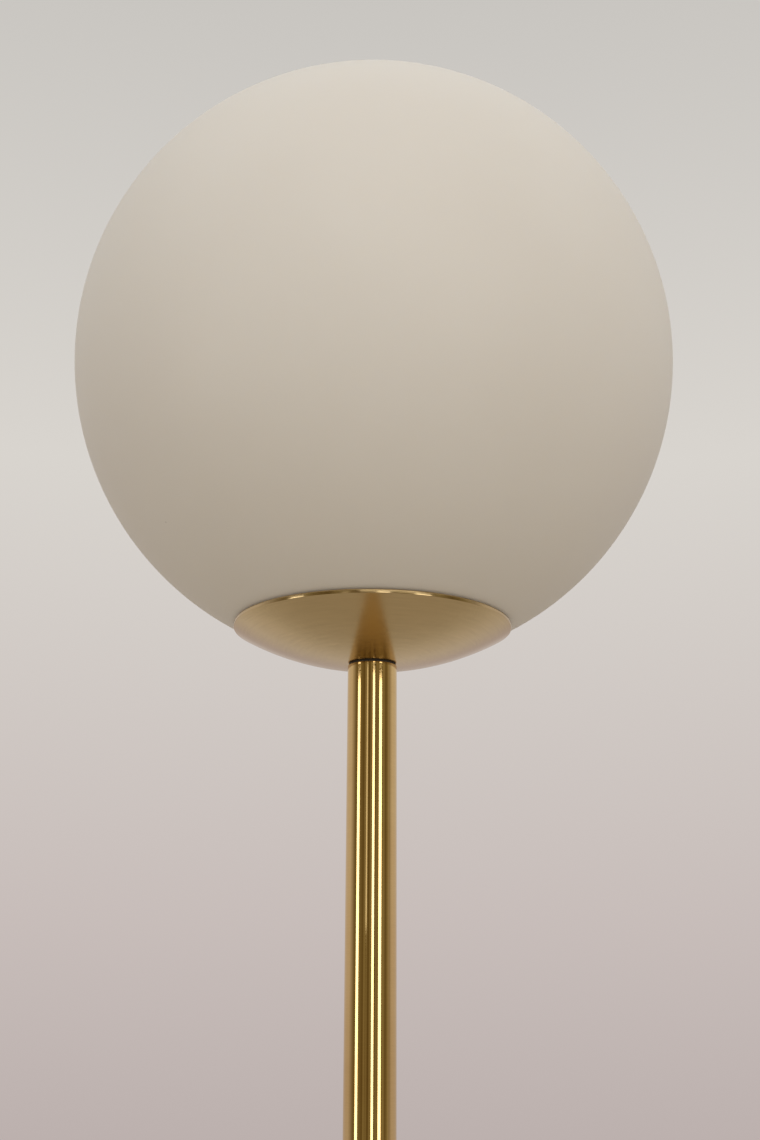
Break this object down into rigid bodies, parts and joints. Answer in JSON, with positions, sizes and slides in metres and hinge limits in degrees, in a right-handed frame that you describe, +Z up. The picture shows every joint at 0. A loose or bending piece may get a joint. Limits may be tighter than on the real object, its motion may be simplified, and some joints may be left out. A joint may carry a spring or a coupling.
{
  "type": "globe floor lamp",
  "caption": "Floor lamp with an opal glass globe seated in a shallow brass dish on a slim round stem and a round weighted base with a foot switch.",
  "frame": {"origin": "middle of the base's underside, on the floor, on the stem's axis", "axes": "+Z up along the stem, +Y to the back where the cord inlet and the foot switch are, -Y to the front"},
  "size_m": [0.28, 0.2824, 1.5093],
  "materials": {
    "opal_glass": "satin etched opal glass",
    "satin_brass": "satin brushed brass",
    "polished_brass": "polished brass",
    "raw_brass": "turned brass",
    "zinc_steel": "zinc plated",
    "spring_steel": "bare spring steel",
    "nickel": "nickel plated",
    "cast_iron": "black primed casting",
    "black_steel": "black powder coat",
    "silicone": "translucent soft silicone",
    "black_rubber": "matte foam rubber",
    "black_fibre": "vulcanised fibre",
    "black_phenolic": "moulded phenolic",
    "porcelain": "glazed porcelain",
    "bulb_white": "frosted polycarbonate",
    "housing_white": "moulded plastic",
    "bulb_black": "moulded insulator",
    "block_white": "moulded nylon",
    "brown_core": "insulated flexible core",
    "blue_core": "insulated flexible core"
  },
  "bodies": {
    "stand": {"dish": "satin_brass", "seat_ring": "silicone", "dish_washer": "black_fibre", "gallery_spacer": "raw_brass", "gallery_plate": "zinc_steel", "globe_springs": "spring_steel", "spring_rivets": "zinc_steel", "top_lock_washer": "zinc_steel", "top_nut": "raw_brass", "top_nipple": "raw_brass", "stem_tube": "polished_brass", "stem_top_plug": "raw_brass", "stem_foot_plug": "raw_brass", "holder_cap": "black_phenolic", "holder_skirt": "black_phenolic", "holder_insert": "porcelain", "holder_terminals": "raw_brass", "screw_shell": "nickel", "contact_disc": "raw_brass", "contact_spring": "spring_steel", "base_cover": "satin_brass", "base_ballast": "cast_iron", "base_plate": "black_steel", "base_pad": "black_rubber", "plate_screws": "zinc_steel", "stem_washer": "black_fibre", "foot_nipple": "raw_brass", "foot_plain_washer": "zinc_steel", "foot_lock_washer": "zinc_steel", "foot_nut": "raw_brass", "cord_bush": "black_phenolic", "cord_bush_nut": "black_phenolic", "switch_body": "black_phenolic", "switch_bezel": "polished_brass", "switch_spring": "spring_steel", "terminal_block": "block_white", "terminal_screws": "zinc_steel", "block_screws": "zinc_steel", "live_core": "brown_core", "neutral_core": "blue_core", "switch_leads": "brown_core", "earth_tag": "raw_brass", "earth_screw": "zinc_steel"},
    "globe": {"globe_glass": "opal_glass"},
    "contact": {"centre_contact": "raw_brass"},
    "bulb": {"bulb_tip": "nickel", "bulb_insulator": "bulb_black", "bulb_cap": "nickel", "bulb_housing": "housing_white", "bulb_dome": "bulb_white"},
    "button": {"switch_button": "polished_brass"}
  },
  "joints": [
    {"name": "globe_lift", "type": "slide", "parent": "stand", "child": "globe", "axis": [0, 0, 1], "range_m": [0, 0.16]},
    {"name": "bulb_rise", "type": "slide", "parent": "stand", "child": "contact", "axis": [0, 0, 1], "range_m": [0, 0.00236], "deforming": ["contact_spring"]},
    {"name": "bulb_turn", "type": "hinge", "parent": "contact", "child": "bulb", "pos_m": [0, 0, 1.3], "axis": [0, 0, 1], "range_deg": [0, 235]},
    {"name": "foot_switch_press", "type": "slide", "parent": "stand", "child": "button", "axis": [0, 0, -1], "range_m": [0, 0.004], "stiffness_N_per_m": 1500, "springref_m": -0.003, "deforming": ["switch_spring"]}
  ],
  "couplings": [
    {"joint": "bulb_turn", "follows": "bulb_rise", "rad_per_m": 1731.4}
  ]
}
